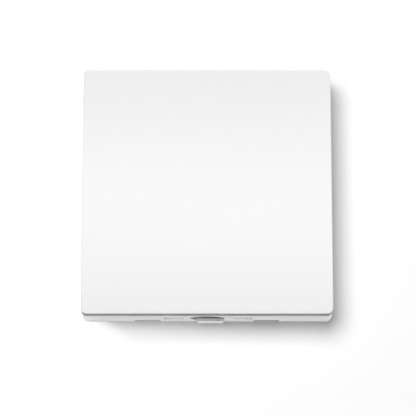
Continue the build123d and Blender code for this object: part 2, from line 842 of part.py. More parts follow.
with BuildPart() as antenna_coil:
    with BuildLine():
        aerial = Helix(
            pitch=antenna_pitch,
            height=antenna_turns * antenna_pitch,
            radius=antenna_r,
            center=(
                -antenna_turns * antenna_pitch / 2,
                -(board_front_at + antenna_r + antenna_wire_r + spring_seat),
                antenna_z,
            ),
            direction=(1, 0, 0),
        )
    with BuildSketch(Plane(origin=aerial @ 0, z_dir=aerial % 0)):
        RegularPolygon(antenna_wire_r, 6)
    sweep(path=aerial, is_frenet=True)

pieces = {
    "front_panel": front_panel,
    "surround_frame": surround_frame,
    "mounting_base": mounting_base,
    "lock_slider": lock_slider,
    "plunger": plunger,
    "return_spring": return_spring,
    "switch_body": switch_body,
    "switch_stem": switch_stem,
    "rear_housing": rear_housing,
    "housing_screws": housing_screws,
    "circuit_board": circuit_board,
    "terminal_block": terminal_block,
    "terminal_clamp_line": terminal_clamp_line,
    "terminal_clamp_load": terminal_clamp_load,
    "terminal_screws": terminal_screws,
    "cell_lower": cell_lower,
    "cell_upper": cell_upper,
    "contact_positive": contact_positive,
    "contact_negative": contact_negative,
    "contact_link": contact_link,
    "relay": relay,
    "storage_capacitor": storage_capacitor,
    "boost_inductor": boost_inductor,
    "radio_module": radio_module,
    "shield_can": shield_can,
    "antenna_coil": antenna_coil,
}
os.makedirs("parts", exist_ok=True)
for name, piece in pieces.items():
    piece.part.label = name
    export_step(piece.part, f"parts/{name}.step")
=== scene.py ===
import math

import bmesh
import bpy
import numpy as np
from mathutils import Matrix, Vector


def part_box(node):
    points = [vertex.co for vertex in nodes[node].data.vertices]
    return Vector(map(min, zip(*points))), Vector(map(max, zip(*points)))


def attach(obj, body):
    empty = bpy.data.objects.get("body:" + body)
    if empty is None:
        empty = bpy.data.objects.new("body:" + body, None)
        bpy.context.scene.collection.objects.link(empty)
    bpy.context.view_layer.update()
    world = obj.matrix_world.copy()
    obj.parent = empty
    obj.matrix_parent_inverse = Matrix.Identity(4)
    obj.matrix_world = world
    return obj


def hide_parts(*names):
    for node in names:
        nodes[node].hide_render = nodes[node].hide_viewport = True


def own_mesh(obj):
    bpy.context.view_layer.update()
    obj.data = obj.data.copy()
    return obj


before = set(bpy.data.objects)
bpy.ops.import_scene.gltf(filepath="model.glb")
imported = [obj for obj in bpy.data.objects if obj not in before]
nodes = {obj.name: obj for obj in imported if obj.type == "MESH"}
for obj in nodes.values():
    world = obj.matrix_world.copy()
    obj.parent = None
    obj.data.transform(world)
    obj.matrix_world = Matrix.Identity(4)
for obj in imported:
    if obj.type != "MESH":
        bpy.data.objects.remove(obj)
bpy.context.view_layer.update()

mm = 0.001
print("frame loaded:", len(nodes), "CAD pieces")


# a node's output: sums, products and comparisons on it add Math nodes
class Field:
    def __init__(self, look, socket):
        self.look = look
        self.socket = socket

    def calc(self, operation, *others):
        return self.look.add("ShaderNodeMath", {"operation": operation}, (self, *others))

    def swapped(self, operation, other):
        return self.look.add("ShaderNodeMath", {"operation": operation}, (other, self))

    def __add__(self, other):
        return self.calc("ADD", other)

    def __sub__(self, other):
        return self.calc("SUBTRACT", other)

    def __rsub__(self, other):
        return self.swapped("SUBTRACT", other)

    def __mul__(self, other):
        return self.calc("MULTIPLY", other)

    def __truediv__(self, other):
        return self.calc("DIVIDE", other)

    def __rtruediv__(self, other):
        return self.swapped("DIVIDE", other)

    def __pow__(self, other):
        return self.calc("POWER", other)

    def __abs__(self):
        return self.calc("ABSOLUTE")

    def __lt__(self, other):
        return self.calc("LESS_THAN", other)

    def __gt__(self, other):
        return self.calc("GREATER_THAN", other)

    __radd__ = __add__
    __rmul__ = __mul__

    # 0 at the first value, 1 at the second, held beyond them
    def ramp(self, start, end):
        return self.look.add("ShaderNodeMapRange", None, {0: self, 1: start, 2: end})

    # 0 below the low value, 1 above the high one, eased between them
    def ease(self, low, high):
        smooth = {"interpolation_type": "SMOOTHSTEP"}
        return self.look.add("ShaderNodeMapRange", smooth, {0: self, 1: low, 2: high})


# the node tree of one material or of the world
class Look:
    def __init__(self, owner):
        owner.use_nodes = True
        self.owner = owner
        self.tree = owner.node_tree

    # any node: its settings first, then the values or links of its sockets
    def add(self, kind, settings=None, sockets=(), output=0):
        node = self.tree.nodes.new(kind)
        for key, value in (settings or {}).items():
            setattr(node, key, value)
        for key, value in sockets.items() if isinstance(sockets, dict) else enumerate(sockets):
            self.feed(node.inputs[key], value)
        return Field(self, node.outputs[output])

    def feed(self, socket, value):
        if isinstance(value, Field):
            self.tree.links.new(value.socket, socket)
        elif socket.type == "RGBA":
            socket.default_value = (*value, 1.0)
        else:
            socket.default_value = value

    def shade(self, **sockets):
        shader = self.tree.nodes["Principled BSDF"]
        for key, value in sockets.items():
            self.feed(shader.inputs[key.replace("_", " ")], value)

    def place(self):
        return self.add("ShaderNodeTexCoord", output="Object")

    def axes(self):
        place = self.place()
        return [self.add("ShaderNodeSeparateXYZ", None, (place,), axis) for axis in "XYZ"]

    # noise with features of the given size, drawn out along the axes by stretch
    def noise(self, size, detail=2.0, stretch=(1, 1, 1)):
        scale = tuple(1 / (size * s) for s in stretch)
        place = self.add("ShaderNodeVectorMath", {"operation": "MULTIPLY"}, (self.place(), scale))
        return self.add("ShaderNodeTexNoise", None, {"Vector": place, "Scale": 1.0, "Detail": detail})

    def mix(self, factor, first, second):
        return self.add("ShaderNodeMix", {"data_type": "RGBA"}, {0: factor, 6: first, 7: second}, 2)

    def bump(self, height, depth):
        self.shade(Normal=self.add("ShaderNodeBump", None, {"Height": height, "Distance": depth}))


def newLook(name):
    return Look(bpy.data.materials.new(name))


def dress(look, *names):
    for name in names:
        nodes[name].material_slots[0].material = look.owner


# quads between neighbouring closed rings of points, then flat caps on the two end rings where asked
def ringFaces(rows, columns, wrapRows=False, caps=False):
    a, b = np.meshgrid(np.arange(rows if wrapRows else rows - 1), np.arange(columns), indexing="ij")
    nextA, nextB = (a + 1) % rows, (b + 1) % columns
    corners = (a * columns + b, a * columns + nextB, nextA * columns + nextB, nextA * columns + b)
    blocks = [np.stack(corners, -1).reshape(-1, 4)]
    if caps:
        blocks.append(np.arange(columns) + np.array([[0], [(rows - 1) * columns]]))
    return blocks


# one mesh piece from several grids of points, each with its own blocks of faces
def makePiece(name, grids, look, body, crease=35, weld=1e-7):
    points, faces = [], []
    start = 0
    for grid, blocks in grids:
        for block in blocks:
            faces += (block + start).tolist()
        points.append(grid.reshape(-1, 3))
        start += len(points[-1])
    mesh = bpy.data.meshes.new(name)
    mesh.from_pydata(np.concatenate(points), [], faces)
    merged = bmesh.new()
    merged.from_mesh(mesh)
    bmesh.ops.remove_doubles(merged, verts=merged.verts, dist=weld)
    bmesh.ops.recalc_face_normals(merged, faces=merged.faces)
    merged.to_mesh(mesh)
    merged.free()
    mesh.shade_smooth()
    mesh.set_sharp_from_angle(angle=math.radians(crease))
    mesh.materials.append(look.owner)
    piece = bpy.data.objects.new(name, mesh)
    bpy.context.scene.collection.objects.link(piece)
    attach(piece, body)
    return piece


# White mouldings: a faint cloud in the colour and the fine grain of an eroded mould; painted shade greys each
# recess, which is given as its most painted shade and then its ramps
def whiteMoulding(name, finish, *recesses):
    look = newLook(name)
    cloud = look.noise(finish["cloudSize"])
    grain = look.noise(finish["grainSize"], detail=3.0)
    colour = look.mix(cloud, finish["shade"], finish["colour"])
    for most, *ramps in recesses:
        paintedShade = most * (finish["shadeEven"] + finish["shadeGrain"] * grain)
        for axis, noShade, fullShade in ramps:
            paintedShade = paintedShade * look.axes()[axis].ramp(noShade, fullShade)
        colour = look.mix(paintedShade, colour, finish["paintedShade"])
    look.shade(Base_Color=colour, Roughness=finish["roughness"] + finish["spread"] * (cloud + grain - 1))
    look.bump(grain, finish["grainDepth"])
    return look


# one ramp of a recess's painted shade: the axis, then its unshaded and its fully shaded place, each so far
# from an edge
def shadeRamp(axis, edge, span):
    noShade, fullShade = span
    return axis, edge + noShade, edge + fullShade


panelFinish = {
    "colour": (0.79, 0.79, 0.79), "shade": (0.78, 0.78, 0.78), "roughness": 0.24, "spread": 0.04,
    "cloudSize": 20 * mm, "grainSize": 0.25 * mm, "grainDepth": 0.002 * mm,
}
frameFinish = {
    "colour": (0.83, 0.83, 0.83), "shade": (0.815, 0.815, 0.815), "roughness": 0.45, "spread": 0.06,
    "cloudSize": 15 * mm, "grainSize": 0.2 * mm, "grainDepth": 0.004 * mm,
    # painted shade: the front edge in the gap behind the panel is darkened, and the lower wall towards the
    # gap
    "paintedShade": (0.54, 0.54, 0.535), "shadeEven": 0.8, "shadeGrain": 0.4,
    "rimMost": 1.0, "rimSpan": (0.2 * mm, 0.08 * mm),  # front edge, in the gap behind the panel
    "underMost": 0.56, "wallSpan": (0.7 * mm, 0.4 * mm),  # lower wall
    "underSpan": (6 * mm, 1.6 * mm),  # and along it, towards the gap
}
sliderFinish = {
    "colour": (0.80, 0.80, 0.80), "shade": (0.785, 0.785, 0.785), "roughness": 0.33, "spread": 0.05,
    "cloudSize": 6 * mm, "grainSize": 0.15 * mm, "grainDepth": 0.003 * mm,
    # painted shade: the neck in the slot is darkened, and the tab's front face just above the lip
    "paintedShade": (0.46, 0.46, 0.455), "shadeEven": 0.8, "shadeGrain": 0.4,
    "neckMost": 1.0, "neckSpan": (0, 0.25 * mm),  # neck, in the slot
    "lipRise": 0.12 * mm,  # front edge of the lip, above the slider's foot
    "scoopMost": 0.47, "scoopFoot": (-0.02 * mm, 0.05 * mm), "scoopTop": (0.45 * mm, 0.28 * mm),
}
baseFinish = {
    "colour": (0.77, 0.775, 0.765), "shade": (0.74, 0.745, 0.735), "roughness": 0.55, "spread": 0.1,
    "cloudSize": 9 * mm, "grainSize": 0.3 * mm, "grainDepth": 0.02 * mm,
}
housingFinish = {
    "colour": (0.76, 0.765, 0.76), "shade": (0.72, 0.727, 0.722), "roughness": 0.5, "spread": 0.12,
    "cloudSize": 8 * mm, "grainSize": 0.35 * mm, "grainDepth": 0.03 * mm,
}
acetalFinish = {
    "colour": (0.74, 0.735, 0.71), "shade": (0.69, 0.685, 0.66), "roughness": 0.4, "spread": 0.1,
    "cloudSize": 2 * mm, "grainSize": 0.1 * mm, "grainDepth": 0.004 * mm,
}
frameLow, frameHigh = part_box("surround_frame")
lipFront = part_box("lock_slider")[0].z + sliderFinish["lipRise"]
rimShade = (frameFinish["rimMost"], shadeRamp(1, frameLow.y, frameFinish["rimSpan"]))
underShade = (
    frameFinish["underMost"],
    shadeRamp(2, frameLow.z, frameFinish["wallSpan"]),
    shadeRamp(1, frameLow.y, frameFinish["underSpan"]),
)
neckShade = (sliderFinish["neckMost"], shadeRamp(2, frameLow.z, sliderFinish["neckSpan"]))
scoopShade = (
    sliderFinish["scoopMost"],
    shadeRamp(2, lipFront, sliderFinish["scoopFoot"]),
    shadeRamp(2, lipFront, sliderFinish["scoopTop"]),
)
dress(whiteMoulding("satinPanel", panelFinish), "front_panel")
dress(whiteMoulding("satinFrame", frameFinish, rimShade, underShade), "surround_frame")
dress(whiteMoulding("thumbSlider", sliderFinish, neckShade, scoopShade), "lock_slider")
dress(whiteMoulding("baseTray", baseFinish), "mounting_base")
housingLook = whiteMoulding("rearShell", housingFinish)
dress(housingLook, "rear_housing")
dress(whiteMoulding("naturalAcetal", acetalFinish), "plunger", "switch_stem")

speckEdge = (0.58, 0.7)  # noise levels at which a speck begins and is full


# Dark mouldings: sparkle of the filler in the colour, coarse matt grain
def darkMoulding(name, finish):
    look = newLook(name)
    grain = look.noise(finish["grainSize"], detail=4.0)
    speck = look.noise(finish["speckSize"]).ease(*speckEdge)
    look.shade(
        Base_Color=look.mix(speck, finish["colour"], finish["speck"]),
        Roughness=finish["roughness"] + finish["spread"] * grain,
    )
    look.bump(grain, finish["grainDepth"])
    return look


relayFinish = {
    "colour": (0.022, 0.022, 0.024), "speck": (0.05, 0.05, 0.052), "roughness": 0.35, "spread": 0.2,
    "grainSize": 0.2 * mm, "speckSize": 0.12 * mm, "grainDepth": 0.02 * mm,
}
terminalFinish = {
    "colour": (0.20, 0.22, 0.23), "speck": (0.25, 0.27, 0.28), "roughness": 0.45, "spread": 0.2,
    "grainSize": 0.25 * mm, "speckSize": 0.15 * mm, "grainDepth": 0.02 * mm,
}
ferriteFinish = {
    "colour": (0.07, 0.07, 0.072), "speck": (0.15, 0.15, 0.155), "roughness": 0.6, "spread": 0.25,
    "grainSize": 0.12 * mm, "speckSize": 0.08 * mm, "grainDepth": 0.04 * mm,
}
caseLook = darkMoulding("relayCase", relayFinish)
dress(caseLook, "relay", "switch_body")
dress(darkMoulding("terminalBlock", terminalFinish), "terminal_block")
dress(darkMoulding("pressedFerrite", ferriteFinish), "boost_inductor")


# Rolled sheet and drawn wire: fine lines along the working direction, a slow change of polish
def drawnMetal(name, finish):
    look = newLook(name)
    lines = look.noise(finish["lineSize"], detail=3.0, stretch=finish["along"])
    tarnish = look.noise(finish["tarnishSize"])
    look.shade(
        Base_Color=look.mix(tarnish, finish["shade"], finish["colour"]),
        Metallic=1.0,
        Roughness=finish["roughness"] + finish["spread"] * lines,
    )
    look.bump(lines, finish["lineDepth"])
    return look


nickelFinish = {
    "colour": (0.70, 0.68, 0.64), "shade": (0.60, 0.585, 0.55), "roughness": 0.18, "spread": 0.2,
    "lineSize": 0.08 * mm, "along": (1, 1, 30), "tarnishSize": 3 * mm, "lineDepth": 0.004 * mm,
}
brassFinish = {
    "colour": (0.74, 0.53, 0.24), "shade": (0.60, 0.41, 0.17), "roughness": 0.22, "spread": 0.2,
    "lineSize": 0.1 * mm, "along": (1, 20, 1), "tarnishSize": 2 * mm, "lineDepth": 0.006 * mm,
}
copperFinish = {
    "colour": (0.78, 0.43, 0.26), "shade": (0.60, 0.30, 0.17), "roughness": 0.2, "spread": 0.15,
    "lineSize": 0.05 * mm, "along": (12, 1, 1), "tarnishSize": 1.5 * mm, "lineDepth": 0.003 * mm,
}
springFinish = {
    "colour": (0.60, 0.60, 0.61), "shade": (0.48, 0.48, 0.49), "roughness": 0.22, "spread": 0.18,
    "lineSize": 0.05 * mm, "along": (8, 1, 8), "tarnishSize": 1.5 * mm, "lineDepth": 0.003 * mm,
}
nickelPieces = ("contact_positive", "contact_negative", "contact_link", "shield_can")
dress(drawnMetal("nickelSheet", nickelFinish), *nickelPieces)
dress(drawnMetal("terminalBrass", brassFinish), "terminal_clamp_line", "terminal_clamp_load")
copperLook = drawnMetal("antennaCopper", copperFinish)
springLook = drawnMetal("springWire", springFinish)


# Zinc plated screws: turning rings round the axis of each screw of a mirrored set
def turnedMetal(name, finish, across, up):
    look = newLook(name)
    x, _, z = look.axes()
    radius = ((abs(x) - across) ** 2 + (abs(z - up[0]) - up[1]) ** 2) ** 0.5
    rings = (radius * (2 * math.pi / finish["ringPitch"])).calc("SINE")
    spangle = look.noise(finish["spangleSize"])
    look.shade(
        Base_Color=look.mix(spangle, finish["shade"], finish["colour"]),
        Metallic=1.0,
        Roughness=finish["roughness"] + finish["spread"] * spangle,
    )
    look.bump(rings, finish["ringDepth"])
    return look


zincFinish = {
    "colour": (0.64, 0.64, 0.65), "shade": (0.50, 0.51, 0.53), "roughness": 0.22, "spread": 0.15,
    "ringPitch": 0.12 * mm, "ringDepth": 0.003 * mm, "spangleSize": 0.7 * mm,
}


# Circuit board: square cells whose track runs one way or the other, under green solder mask
def boardLook(name, finish):
    look = newLook(name)
    cell = finish["trackPitch"]
    place = look.add("ShaderNodeVectorMath", {"operation": "DIVIDE"}, (look.place(), (cell,) * 3))
    corner = look.add("ShaderNodeVectorMath", {"operation": "FLOOR"}, (place,))
    inCell = look.add("ShaderNodeVectorMath", {"operation": "FRACTION"}, (place,))
    u = look.add("ShaderNodeSeparateXYZ", None, (inCell,), "X")
    v = look.add("ShaderNodeSeparateXYZ", None, (inCell,), "Z")
    flat = look.add("ShaderNodeVectorMath", {"operation": "MULTIPLY"}, (corner, (1, 0, 1)))
    turned = look.add("ShaderNodeTexWhiteNoise", None, {"Vector": flat}) > 0.5  # half of the cells
    away = abs(turned * u + (1 - turned) * v - 0.5)  # from the middle of the cell
    track = 1 - away.ease(finish["trackWidth"] * finish["trackCore"], finish["trackWidth"])
    mottle = look.noise(finish["mottleSize"])
    look.shade(
        Base_Color=look.mix(track, finish["colour"], finish["track"]),
        Roughness=finish["roughness"] + finish["spread"] * mottle,
        Coat_Weight=finish["coat"] * mottle,
    )
    look.bump(track, finish["trackDepth"])
    return look


maskFinish = {
    "colour": (0.012, 0.11, 0.05), "track": (0.025, 0.19, 0.085), "roughness": 0.25, "spread": 0.2,
    "coat": 0.3, "trackPitch": 1.1 * mm, "trackWidth": 0.2, "trackCore": 0.8, "trackDepth": 0.03 * mm,
    "mottleSize": 2 * mm,
}
dress(boardLook("solderMask", maskFinish), "circuit_board", "radio_module")


# Dry cell: plain two-tone sleeve between bare metal ends
def cellLook(name, finish, node, positive):
    low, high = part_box(node)
    look = newLook(name)
    x = look.axes()[0]
    along = (x - low.x) / (high.x - low.x)
    along = along if positive > 0 else 1 - along
    end = along.ease(finish["sleeveTop"], finish["sleeveTop"] + finish["sleeveEdge"])
    end = end + 1 - along.ease(finish["sleeveFoot"], finish["sleeveFoot"] + finish["sleeveEdge"])
    band = along.ease(finish["bandFrom"], finish["bandFrom"] + finish["bandEdge"])
    sleeve = look.mix(band, finish["colour"], finish["band"])
    wrinkle = look.noise(finish["wrinkleSize"], stretch=finish["along"])
    look.shade(
        Base_Color=look.mix(end, sleeve, finish["metal"]),
        Metallic=end,
        Roughness=finish["roughness"] + finish["spread"] * wrinkle,
    )
    look.bump(wrinkle * (1 - end), finish["wrinkleDepth"])
    return look


sleeveFinish = {
    "colour": (0.11, 0.13, 0.17), "band": (0.50, 0.30, 0.12), "metal": (0.66, 0.66, 0.66), "roughness": 0.2,
    "spread": 0.15, "sleeveFoot": 0.008, "sleeveTop": 0.965, "sleeveEdge": 0.004, "bandFrom": 0.74,
    "bandEdge": 0.003, "wrinkleSize": 1.2 * mm, "along": (6, 1, 1), "wrinkleDepth": 0.02 * mm,
}
dress(cellLook("sleeveLower", sleeveFinish, "cell_lower", 1), "cell_lower")
dress(cellLook("sleeveUpper", sleeveFinish, "cell_upper", -1), "cell_upper")


# Capacitor: dark sleeve with a pale stripe down one side, bare scored top
def canLook(name, finish):
    low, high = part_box("storage_capacitor")
    middle = (low + high) / 2
    look = newLook(name)
    x, y, z = look.axes()
    across, up = x - middle.x, z - middle.z
    radius = (across ** 2 + up ** 2) ** 0.5
    top = (y > high.y - finish["curl"]) * (radius < (high.x - low.x) / 2 * finish["topShare"])
    score = (abs(across) < finish["score"]).calc("MAXIMUM", abs(up) < finish["score"]) * top
    stripe = (abs(up) < finish["stripe"]) * (across < 0)
    sleeve = look.mix(stripe, finish["colour"], finish["pale"])
    smudge = look.noise(finish["smudgeSize"])
    look.shade(
        Base_Color=look.mix(top, sleeve, finish["metal"]),
        Metallic=top,
        Roughness=finish["roughness"] + finish["spread"] * smudge,
    )
    look.bump(1 - score, finish["scoreDepth"])
    return look


canFinish = {
    "colour": (0.025, 0.027, 0.045), "pale": (0.45, 0.46, 0.48), "metal": (0.70, 0.70, 0.71),
    "roughness": 0.22, "spread": 0.15, "curl": 0.4 * mm, "topShare": 0.82, "score": 0.12 * mm,
    "stripe": 1.1 * mm, "smudgeSize": 1.5 * mm, "scoreDepth": 0.08 * mm,
}
dress(canLook("capacitorSleeve", canFinish), "storage_capacitor")
print("materials made:", len(bpy.data.materials))


# Round wire along a helix: each ring is the helix point plus the wire's radius times cosine outwards and sine
# along the axis; the climb is held at both ends, so that the end turns lie almost flat
def coilGrid(coil, middle, axis):
    t = np.linspace(0, 1, coil["steps"])[:, None]
    around = np.linspace(0, 2 * math.pi, coil["sides"], endpoint=False)[None, :]
    dead = coil["deadTurns"] / coil["turns"]
    climb = np.clip((t - dead) / (1 - 2 * dead), 0, 1)
    turn = 2 * math.pi * coil["turns"] * t
    rise = (climb - 0.5) * coil["length"] + (t - 0.5) * coil["deadTurns"] * 2 * coil["wire"]
    out = coil["radius"] + coil["wire"] * np.cos(around)
    first, second, along = [np.roll(np.array([1.0, 0.0, 0.0]), axis + k) for k in (1, 2, 0)]
    radial = np.cos(turn)[..., None] * first + np.sin(turn)[..., None] * second
    height = (rise + coil["wire"] * np.sin(around))[..., None] * along
    grid = out[..., None] * radial + height + np.array(middle)
    return grid, ringFaces(coil["steps"], coil["sides"], caps=True)


springLow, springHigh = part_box("return_spring")
springMiddle = (springLow + springHigh) / 2
springCoil = {
    "radius": 3.35 * mm, "wire": 0.3 * mm, "turns": 5.0, "deadTurns": 0.75, "length": 4.5 * mm,
    "steps": 400, "sides": 14,
}
springGrid = coilGrid(springCoil, springMiddle, 1)
returnSpring = makePiece("returnSpring", [springGrid], springLook, "wall_unit")
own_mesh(returnSpring)
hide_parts("return_spring")

coilLow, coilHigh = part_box("antenna_coil")
antennaHelix = {
    "radius": 2.0 * mm, "wire": 0.3 * mm, "turns": 6.0, "deadTurns": 0.0, "length": 9.4 * mm,
    "steps": 420, "sides": 14,
}
antennaGrid = coilGrid(antennaHelix, (coilLow + coilHigh) / 2, 0)
antenna = makePiece("antennaHelix", [antennaGrid], copperLook, "wall_unit")
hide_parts("antenna_coil")


# Small board parts: rings of four corners at plus and minus half the size, upright to the waist and drawn in
# at the top
def blockGrid(x, z, size, foot, height, draw=0.86, waist=0.7):
    corner = np.array([(-1, -1), (1, -1), (1, 1), (-1, 1)]) * np.array(size) / 2
    share = np.array([1.0, 1.0, draw])[:, None]
    level = foot + height * np.array([0.0, waist, 1.0])[:, None] * np.ones(4)
    grid = np.stack([x + share * corner[:, 0], level, z + share * corner[:, 1]], -1)
    return grid, ringFaces(3, 4, caps=True)


# Solder joint: turned grid whose radius falls from the pad to the wire end with the square of the height that
# is left
def jointGrid(x, z, foot, height, pad, wireEnd=0.32, flare=0.68, sides=16, rings=7):
    angle = np.linspace(0, 2 * math.pi, sides, endpoint=False)[None, :]
    rise = np.linspace(0, 1, rings)[:, None]
    radius = pad * (wireEnd + flare * (1 - rise) ** 2)
    level = foot + height * rise + 0 * angle
    grid = np.stack([x + radius * np.cos(angle), level, z + radius * np.sin(angle)], -1)
    return grid, ringFaces(rings, sides, caps=True)


boardParts = {
    "chipAt": (-10 * mm, 4 * mm), "chipSize": (4.0 * mm, 5.0 * mm), "chipHeight": 1.5 * mm,
    "legSize": (1.0 * mm, 0.42 * mm), "legHeight": 0.25 * mm, "legPitch": 1.27 * mm, "legCount": 4,
    "controllerAt": (1 * mm, 5 * mm), "controllerSize": (5.0 * mm, 5.0 * mm), "controllerHeight": 0.9 * mm,
    "controllerDraw": 0.94,
    "diodeAt": (16.5 * mm, 3 * mm), "diodeSize": (4.4 * mm, 2.6 * mm), "diodeHeight": 2.1 * mm,
    "passiveSize": (1.0 * mm, 0.8 * mm), "passiveHeight": 0.5 * mm, "passiveEnd": 0.3 * mm, "endDraw": 0.95,
    "pad": 0.75 * mm, "jointHeight": 1.0 * mm, "contactInset": 0.3 * mm,
}
passiveRows = {9.5: range(-9, 10, 3), 19.5: range(-8, 9, 4), 0.9: range(-6, 10, 3)}  # millimetres up: across
jointPlaces = {  # millimetres across and up, on the front of the board
    "relay": [(-14.5, -1.5), (-14.5, 6.1), (9.5, -1.5), (9.5, 6.1)],
    "terminals": [(-9, -14.2), (-6, -14.2), (6, -14.2), (9, -14.2)],
    "capacitor": [(-6, 13.85), (-6, 17.35)],
    "inductor": [(6, 13.1), (6, 18.1)],
}
boardFront, boardBack = [corner.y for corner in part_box("circuit_board")]
chipX, chipZ = boardParts["chipAt"]
chipBlocks = [
    blockGrid(chipX, chipZ, boardParts["chipSize"], boardFront, -boardParts["chipHeight"]),
    blockGrid(
        *boardParts["controllerAt"], boardParts["controllerSize"], boardFront,
        -boardParts["controllerHeight"], boardParts["controllerDraw"],
    ),
    blockGrid(*boardParts["diodeAt"], boardParts["diodeSize"], boardBack, boardParts["diodeHeight"]),
]
passivePlaces = [(x * mm, z * mm) for z, row in passiveRows.items() for x in row]
passiveRise = -boardParts["passiveHeight"]
passiveBlocks = [
    blockGrid(x, z, boardParts["passiveSize"], boardFront, passiveRise)
    for x, z in passivePlaces
]
endOut = (boardParts["passiveSize"][0] + boardParts["passiveEnd"]) / 2
endSize = (boardParts["passiveEnd"], boardParts["passiveSize"][1])
tinBlocks = [
    blockGrid(x + side * endOut, z, endSize, boardFront, passiveRise, boardParts["endDraw"])
    for x, z in passivePlaces for side in (-1, 1)
]
legMiddle = (boardParts["legCount"] - 1) / 2
legPlaces = [chipZ + (count - legMiddle) * boardParts["legPitch"] for count in range(boardParts["legCount"])]
legOut = boardParts["chipSize"][0] / 2 + boardParts["legSize"][0] / 2
tinBlocks += [
    blockGrid(chipX + side * legOut, z, boardParts["legSize"], boardFront, -boardParts["legHeight"])
    for z in legPlaces for side in (-1, 1)
]
frontJoints = np.concatenate(list(jointPlaces.values())) * mm
tinBlocks += [
    jointGrid(x, z, boardFront, -boardParts["jointHeight"], boardParts["pad"])
    for x, z in frontJoints
]
contactBoxes = (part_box("contact_positive"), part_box("contact_negative"))
backJoints = [(low.x + boardParts["contactInset"], (low.z + high.z) / 2) for low, high in contactBoxes]
tinBlocks += [
    jointGrid(x, z, boardBack, boardParts["jointHeight"], boardParts["pad"])
    for x, z in backJoints
]
ceramicFinish = {
    "colour": (0.36, 0.25, 0.15), "speck": (0.44, 0.32, 0.2), "roughness": 0.35, "spread": 0.2,
    "grainSize": 0.1 * mm, "speckSize": 0.1 * mm, "grainDepth": 0.01 * mm,
}
tinFinish = {
    "colour": (0.72, 0.72, 0.73), "shade": (0.58, 0.58, 0.6), "roughness": 0.18, "spread": 0.22,
    "lineSize": 0.2 * mm, "along": (1, 1, 1), "tarnishSize": 0.6 * mm, "lineDepth": 0.01 * mm,
}
makePiece("boardChips", chipBlocks, caseLook, "wall_unit")
makePiece("boardPassives", passiveBlocks, darkMoulding("ceramicBody", ceramicFinish), "wall_unit")
makePiece("boardSolder", tinBlocks, drawnMetal("solderTin", tinFinish), "wall_unit")


# Screw as one turned grid: rings run from the middle of the head out over its dome, rim and seat, then down
# the thread to the point; the cross recess lowers the dome, and the thread takes a saw wave of height and
# angle off the shank
def screwGrid(screw, x, seat, z):
    angle = np.linspace(0, 2 * math.pi, screw["sides"], endpoint=False)[None, :]
    top = np.linspace(0, screw["headRadius"] - screw["edge"], screw["rings"])[:, None] * np.ones_like(angle)
    across, up = np.abs(top * np.cos(angle)), np.abs(top * np.sin(angle))
    arm = np.clip((screw["recessWidth"] / 2 - np.minimum(across, up)) / screw["recessSlope"], 0, 1)
    reach = np.clip((screw["recessReach"] - np.maximum(across, up)) / (2 * screw["recessSlope"]), 0, 1)
    recess = screw["recessDepth"] * arm * reach
    dome = screw["headHeight"] - screw["domeDrop"] * (top / screw["headRadius"]) ** 2
    bend = np.linspace(0, math.pi / 2, screw["edgeRings"])[:, None] * np.ones_like(angle)
    rim = screw["headRadius"] - screw["edge"] * (1 - np.sin(bend))
    rimHeight = dome[-1] - screw["edge"] * (1 - np.cos(bend))
    seatRing = np.array([[screw["headRadius"]], [screw["shankRadius"]]]) * np.ones_like(angle)
    depth = np.linspace(0, screw["length"], screw["threadRings"])[:, None] * np.ones_like(angle)
    saw = np.abs((depth / screw["pitch"] + angle / (2 * math.pi)) % 1 - 0.5) * 2
    point = np.clip((screw["length"] - depth) / screw["pointLength"], 0, 1)
    shank = (screw["shankRadius"] - screw["threadDepth"] * saw) * (screw["tip"] + screw["taper"] * point)
    tipHeight = 0 * angle - screw["length"]
    radius = np.concatenate([top, rim, seatRing, shank, 0 * angle])
    height = np.concatenate([dome - recess, rimHeight, 0 * seatRing, -depth, tipHeight])
    grid = np.stack([x + radius * np.cos(angle), seat + height, z + radius * np.sin(angle)], -1)
    return grid, ringFaces(len(grid), screw["sides"])


housingScrew = {
    "headRadius": 2.2 * mm, "headHeight": 1.6 * mm, "domeDrop": 0.45 * mm, "edge": 0.35 * mm,
    "shankRadius": 1.15 * mm, "length": 6.5 * mm, "pitch": 1.05 * mm, "threadDepth": 0.3 * mm,
    "pointLength": 1.4 * mm, "tip": 0.3, "taper": 0.7,
    "recessWidth": 0.62 * mm, "recessReach": 1.35 * mm, "recessSlope": 0.16 * mm, "recessDepth": 0.95 * mm,
    "rings": 40, "edgeRings": 7, "threadRings": 60, "sides": 96,
}
terminalScrew = {
    **housingScrew, "headRadius": 2.5 * mm, "shankRadius": 1.4 * mm, "length": 2.7 * mm, "pitch": 0.5 * mm,
    "threadDepth": 0.2 * mm, "pointLength": 0.4 * mm, "recessWidth": 0.75 * mm, "recessReach": 1.7 * mm,
    "threadRings": 50,
}
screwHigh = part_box("housing_screws")[1]
screwPlace = screwHigh.x - housingScrew["headRadius"]
screwSeat = screwHigh.y - housingScrew["headHeight"]
screwLook = turnedMetal("housingScrewZinc", zincFinish, screwPlace, (0, screwPlace))
screwCorners = [(x, z) for x in (-screwPlace, screwPlace) for z in (-screwPlace, screwPlace)]
screwSet = [screwGrid(housingScrew, x, screwSeat, z) for x, z in screwCorners]
housingScrews = makePiece("housingScrews", screwSet, screwLook, "wall_unit")
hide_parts("housing_screws")

clampLow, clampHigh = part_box("terminal_screws")
clampX = clampHigh.x - terminalScrew["headRadius"]
clampZ = (clampLow.z + clampHigh.z) / 2
clampSeat = clampHigh.y - terminalScrew["headHeight"]
clampLook = turnedMetal("terminalScrewZinc", zincFinish, clampX, (clampZ, 0))
clampSet = [screwGrid(terminalScrew, x, clampSeat, clampZ) for x in (-clampX, clampX)]
terminalScrews = makePiece("terminalScrews", clampSet, clampLook, "wall_unit")
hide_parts("terminal_screws")


